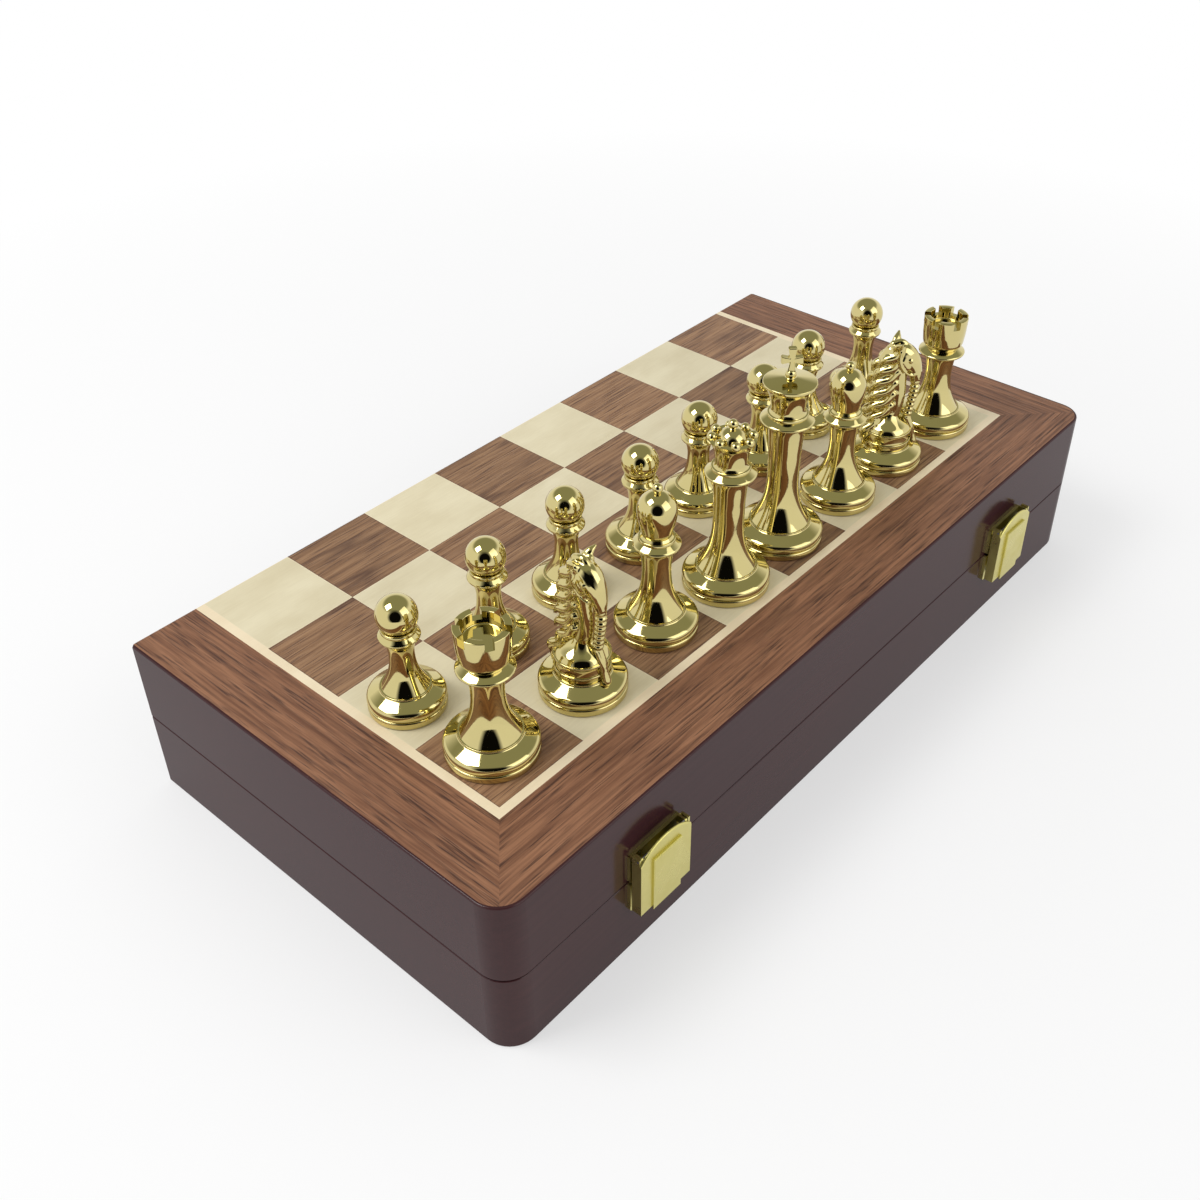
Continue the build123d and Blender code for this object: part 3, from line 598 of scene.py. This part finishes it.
def along(points, steps=8):
    """A smooth run through points of any width, with steps between each two."""
    run = [Vector(p) for p in points]
    run = [run[0] * 2 - run[1], *run, run[-1] * 2 - run[-2]]
    smoothed = []
    for before, start, end, after in zip(run, run[1:], run[2:], run[3:]):
        for step in range(steps):
            t = step / steps
            bend = 2 * before - 5 * start + 4 * end - after
            swing = 3 * start - before - 3 * end + after
            smoothed.append(0.5 * (2 * start + (end - before) * t + bend * t * t + swing * t ** 3))
    return [*smoothed, run[-2]]


def limb(shape, points, flat=1.0, steps=8):
    """A round-ended rod along points with their own radii, its width across the horse scaled by flat."""
    run = along(points, steps)
    sides = 14
    rings = []
    for index, point in enumerate(run):
        ahead = (run[min(index + 1, len(run) - 1)] - run[max(index - 1, 0)]).xyz.normalized()
        across = (Vector((0, 1, 0)) - ahead * ahead.y).normalized()
        up = ahead.cross(across)
        angles = [2 * pi * side / sides for side in range(sides)]
        ring = [point.xyz + point.w * (across * cos(a) * flat + up * sin(a)) for a in angles]
        rings.append([shape.verts.new(p) for p in ring])
    for ring, after in zip(rings, rings[1:]):
        for side in range(sides):
            shape.faces.new([ring[side], ring[(side + 1) % sides], after[(side + 1) % sides], after[side]])
    shape.faces.new(rings[0][::-1])
    shape.faces.new(rings[-1])
    for end in (run[0], run[-1]):
        place = Matrix.Translation(end.xyz) @ Matrix.Diagonal((end.w, end.w * flat, end.w, 1))
        bmesh.ops.create_icosphere(shape, subdivisions=2, radius=1.0, matrix=place)


def mirrored(points):
    """The same points on the horse's other side."""
    return [(a, -k, z, r) for a, k, z, r in points]


def melted(shape, name, grain=0.28, rounds=4):
    """Overlapping closed shapes melted into one skin, as in a casting, with its edges softened."""
    thing = linked(name, mesh_of(name, shape))
    skin = thing.modifiers.new("skin", "REMESH")
    skin.mode = "VOXEL"
    skin.voxel_size = grain
    soft = thing.modifiers.new("soft", "SMOOTH")
    soft.factor = 0.5
    soft.iterations = rounds
    bpy.context.view_layer.update()
    result = bpy.data.meshes.new_from_object(thing.evaluated_get(bpy.context.evaluated_depsgraph_get()))
    bpy.data.objects.remove(thing)
    result.name = name
    return result


def head_and_neck(shape):
    """Neck, bowed head, cheeks, eyes, ears, forelock and bridle."""
    limb(shape, [(-1.4, 0, 15.0, 3.4), (1.2, 0, 19.5, 2.7), (2.0, 0, 25.0, 2.6), (1.5, 0, 31.0, 2.9),
                 (0.4, 0, 36.5, 3.6), (-0.4, 0, 41.0, 3.4)])
    limb(shape, [(-0.6, 0, 41.2, 3.2), (2.2, 0, 41.0, 3.7), (4.8, 0, 38.2, 3.5), (6.5, 0, 34.8, 2.6),
                 (7.2, 0, 32.0, 1.9)])
    for turn in (list, mirrored):
        limb(shape, turn([(1.9, 2.3, 39.6, 2.0), (3.4, 2.0, 37.2, 1.8)]))
        limb(shape, turn([(4.3, 3.5, 39.8, 0.55), (4.6, 3.5, 39.7, 0.5)]))
        limb(shape, turn([(7.6, 1.5, 33.3, 0.5), (8.0, 1.4, 32.8, 0.4)]))
        limb(shape, turn([(-0.6, 1.8, 43.0, 1.4), (0.2, 3.4, 44.8, 1.3), (0.8, 5.2, 46.2, 0.45)]), flat=0.7)
        limb(shape, turn([(1.0, 3.8, 42.8, 0.4), (0.9, 4.0, 39.5, 0.4), (2.4, 3.7, 36.3, 0.4),
                          (5.0, 2.8, 34.2, 0.4), (6.9, 2.1, 34.2, 0.4)]))
    limb(shape, [(-1.4, 0, 44.0, 1.3), (1.4, 0, 44.9, 1.1), (3.8, 0, 43.2, 0.8), (5.2, 0, 41.6, 0.5)])


def reins(shape):
    """The roped strip from the muzzle down to the drum, and the leg of it that stands on the foot."""
    path = along([(7.1, 0, 32.6, 1.5), (7.3, 0, 28.0, 1.5), (6.7, 0, 22.5, 1.4), (5.9, 0, 17.0, 1.4)], 12)
    roped = []
    for point in path:
        swell = 0.3 * cos(2 * pi * point.z / rope_pitch) if rope_to < point.z < rope_from else 0
        roped.append((point.x, point.y, point.z, point.w + swell))
    limb(shape, roped, steps=3)
    limb(shape, [(5.9, 0, 17.0, 1.5), (7.2, 0, 13.8, 1.5), (8.2, 0, 10.5, 1.3), (9.0, 0, 7.6, 1.5)])


def lock_of_hair(shape, root, tip, thick):
    """One lock from root to tip with a slight double bend, tapering to its tip."""
    lean = Vector((tip.z - root.z, 0, root.x - tip.x)).normalized() * lock_bend
    limb(shape, [(*root, 0.8 * thick), (*(root.lerp(tip, 0.33) - lean), thick),
                 (*(root.lerp(tip, 0.7) + lean), 0.9 * thick), (*tip, 0.35)])


def mane(shape):
    """The crest behind the neck, steep locks over its flanks and back, and broad ones over the drum."""
    limb(shape, [(-1.2, 0, 41.5, 2.8), (-3.4, 0, 36.5, 3.0), (-4.6, 0, 29.5, 3.3), (-4.2, 0, 22.5, 3.0),
                 (-2.4, 0, 17.0, 2.6)], flat=0.85)
    # Each row's side, how late its first lock starts, how far back it roots and how far it sweeps
    for row, late, back, reach in ((-1, 0.0, 0.0, 6.6), (0, 0.5, 3.0, 5.0), (1, 0.0, 0.0, 6.6)):
        for lock in range(locks_in_row):
            down = (lock + late) / locks_in_row
            root = Vector((1.2 - 1.6 * down - back, 2.7 * row, 43.6 - 25.0 * down))
            sweep = Vector((-reach - 2.0 * sin(pi * down), -0.7 * row, -7.0 - 1.5 * down))
            lock_of_hair(shape, root, root + sweep, lock_r)
        for inner in (0, 1):
            root = Vector((-3.6 - inner, row * 2.6, 19.0 - inner))
            tip = Vector((-8.2 - 1.2 * inner, row * 3.4, 7.6 + 3.0 * inner))
            lock_of_hair(shape, root, tip, lock_r)


def knight_mesh():
    profile = foot(knight_foot_r, drum_r) + [(drum_r, 8.7)]
    profile += bead(drum_r + drum_bead, drum_bead_zs[0], drum_bead) + [(drum_r - 0.3, 11.2)]
    profile += bead(drum_r + drum_bead, drum_bead_zs[1], drum_bead)
    profile += bezier((drum_r - 0.2, drum_top), (drum_r - 1.4, drum_top + 1.6), (3.6, dome_top - 4.0),
                      (1.8, dome_top), 10)
    profile.append((0, dome_top))
    horse = bmesh.new()
    head_and_neck(horse)
    reins(horse)
    mane(horse)
    return combined(lathe("knight", profile), [melted(horse, "horse")])


def smooth(mesh, angle=38):
    """Round shading, with edges sharper than the angle left crisp."""
    mesh.shade_smooth()
    mesh.set_sharp_from_angle(angle=radians(angle))
    mesh.transform(Matrix.Scale(mm, 4))
    return mesh


gold_shapes = {
    "pawn": smooth(pawn_mesh()), "rook": smooth(rook_mesh()), "knight": smooth(knight_mesh()),
    "bishop": smooth(bishop_mesh()), "queen": smooth(queen_mesh()), "king": smooth(king_mesh()),
}
silver_shapes = {kind: mesh.copy() for kind, mesh in gold_shapes.items()}

# The way the horses look and the king's cross turns, in degrees from +X
facings = {"gold_near_knight": -92.0, "gold_far_knight": -52.0, "gold_king": -48.0}


def gold_man(name):
    """A turned or sculpted man in place of a packed one, standing on its own node's foot."""
    low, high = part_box(name)
    kind = next(kind for kind in gold_shapes if kind in name)
    man = linked(f"{name}_man", gold_shapes[kind])
    man.location = ((low.x + high.x) / 2, (low.y + high.y) / 2, low.z)
    man.rotation_euler.z = radians(facings.get(name, 0.0))
    coat(man, "gold")
    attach(man, name)
    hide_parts(name)


for name in sorted(nodes):
    if name.startswith("gold"):
        gold_man(name)


# The stored men lie along the troughs, feet towards -X: how many of a kind, in how many rows
lay_gap = 3.0
foot_radii = {"king": king_turning.foot_r, "queen": queen_turning.foot_r, "bishop": bishop_turning.foot_r,
              "knight": knight_foot_r, "rook": rook_turning.foot_r, "pawn": pawn_turning.foot_r}
stored = {"king": (1, 1), "queen": (1, 1), "bishops": (2, 1), "knights": (2, 1), "rooks": (2, 1),
          "pawns": (4, 2)}


def silver_men(name, count, rows):
    """The men of one silver node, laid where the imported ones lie."""
    kind = name.split("_")[1].rstrip("s")
    low, high = (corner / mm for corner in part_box(name))
    radius = foot_radii[kind]
    for row in range(rows):
        y = low.y + radius if row == 0 else high.y - radius
        for place in range(count):
            x = low.x + place * (heights[kind] + lay_gap)
            man = linked(f"{name}_{row}_{place}", silver_shapes[kind])
            man.location = Vector((x, y, low.z + radius)) * mm
            man.rotation_euler.y = radians(90)
            coat(man, "silver")
            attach(man, "lower_half")
            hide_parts(name)


for kind, (count, rows) in stored.items():
    silver_men(f"silver_{kind}", count, rows)


# The floor's half width in metres, and the distances in millimetres from its middle where it turns white
floor_half = 4.0
white_from = 150.0
white_to = 520.0

# How many sides a round card has, how strongly the surroundings light the object, and the width of the film
card_sides = 48
world_level = 0.62
sensor_width = 36


def aimed(place, target, axis):
    """The turn that points an object's axis from its place at a target."""
    return (Vector(target) - Vector(place)).to_track_quat(axis, "Y").to_euler()


def shows_background(tree):
    """1 for the camera's own rays and for those off gloss or through glass, and 0 for all others."""
    rays = tree.nodes.new("ShaderNodeLightPath")
    shown = rays.outputs["Is Camera Ray"]
    for kind in ("Is Glossy Ray", "Is Transmission Ray"):
        either = tree.nodes.new("ShaderNodeMath")
        either.operation = "MAXIMUM"
        tree.links.new(shown, either.inputs[0])
        tree.links.new(rays.outputs[kind], either.inputs[1])
        shown = either.outputs[0]
    return shown


def sheet_of(name, corners, material):
    """A flat stage piece through its corners in metres."""
    mesh = bpy.data.meshes.new(name)
    mesh.from_pydata(corners, [], [tuple(range(len(corners)))])
    thing = linked(name, mesh)
    mesh.materials.append(material)
    return thing


def white_floor():
    """Pale floor that keeps the shadow near the case and turns white away from it."""
    paper = Paint("floor_paper", {"Base Color": (0.86, 0.86, 0.86), "Roughness": 0.9})
    far = paper.add("ShaderNodeVectorMath", {0: paper.place}, operation="LENGTH").outputs["Value"]
    whiteness = paper.range(far, white_from, white_to, 0.5, 1.0)
    share = paper.math("MULTIPLY", shows_background(paper.tree), whiteness)
    glow = paper.add("ShaderNodeEmission", {"Strength": 1.0}).outputs[0]
    mixed = paper.add("ShaderNodeMixShader", {0: share, 1: paper.surface.outputs[0], 2: glow}).outputs[0]
    paper.feed(paper.tree.nodes["Material Output"].inputs["Surface"], mixed)
    corners = [(floor_half * x, floor_half * y, 0) for x, y in ((-1, -1), (1, -1), (1, 1), (-1, 1))]
    sheet_of("floor", corners, paper.material)


def studio_card(name, centre, radius, colour):
    """A round glowing card, clear towards its rim, that shows in reflections alone and casts no shadow."""
    paint = Paint(name, {})
    off = paint.add("ShaderNodeVectorMath", {0: paint.place}, operation="LENGTH").outputs["Value"]
    glow = paint.add("ShaderNodeEmission", {"Color": colour}).outputs[0]
    clear = paint.add("ShaderNodeBsdfTransparent").outputs[0]
    share = paint.range(off, 0.6 * radius / mm, radius / mm)
    mixed = paint.add("ShaderNodeMixShader", {0: share, 1: glow, 2: clear}).outputs[0]
    paint.feed(paint.tree.nodes["Material Output"].inputs["Surface"], mixed)
    angles = [2 * pi * side / card_sides for side in range(card_sides)]
    card = sheet_of(name, [(radius * cos(a), radius * sin(a), 0) for a in angles], paint.material)
    card.location = centre
    card.rotation_euler = aimed(centre, (0, 0, 0), "Z")
    card.visible_camera = False
    card.visible_diffuse = False
    card.visible_shadow = False


def stage_and_light():
    """Pale floor, white surroundings, two cards for reflections, soft lamps and the camera."""
    white_floor()
    world = bpy.data.worlds.new("studio")
    bpy.context.scene.world = world
    world.use_nodes = True
    background = world.node_tree.nodes["Background"]
    background.inputs["Color"].default_value = (1, 1, 1, 1)
    level = world.node_tree.nodes.new("ShaderNodeMapRange")
    level.inputs["To Min"].default_value = world_level
    level.inputs["To Max"].default_value = 1.0
    world.node_tree.links.new(shows_background(world.node_tree), level.inputs["Value"])
    world.node_tree.links.new(level.outputs["Result"], background.inputs["Strength"])

    studio_card("ceiling", (0.2, 0.2, 1.3), 2.4, srgb(158, 160, 140))
    studio_card("dark_card", (-0.72, -0.60, 0.42), 0.8, srgb(14, 14, 14))

    lamps = [("key", (-0.55, 0.35, 0.95), 0.5, 6.0), ("fill", (0.2, -0.9, 0.7), 0.8, 2.5)]
    for name, place, size, power in lamps:
        lamp = bpy.data.lights.new(name, "AREA")
        lamp.energy = power
        lamp.size = size
        holder = linked(name, lamp)
        holder.location = place
        holder.rotation_euler = aimed(place, (0, 0, 0.03), "-Z")

    camera = bpy.data.cameras.new("camera")
    camera.lens = camera_lens
    camera.sensor_width = sensor_width
    camera.shift_x, camera.shift_y = camera_shift
    holder = linked("camera", camera)
    holder.location = [c * mm for c in camera_place]
    holder.rotation_euler = [radians(a) for a in camera_turn]
    bpy.context.scene.camera = holder


stage_and_light()
bpy.context.scene.view_settings.view_transform = "Standard"
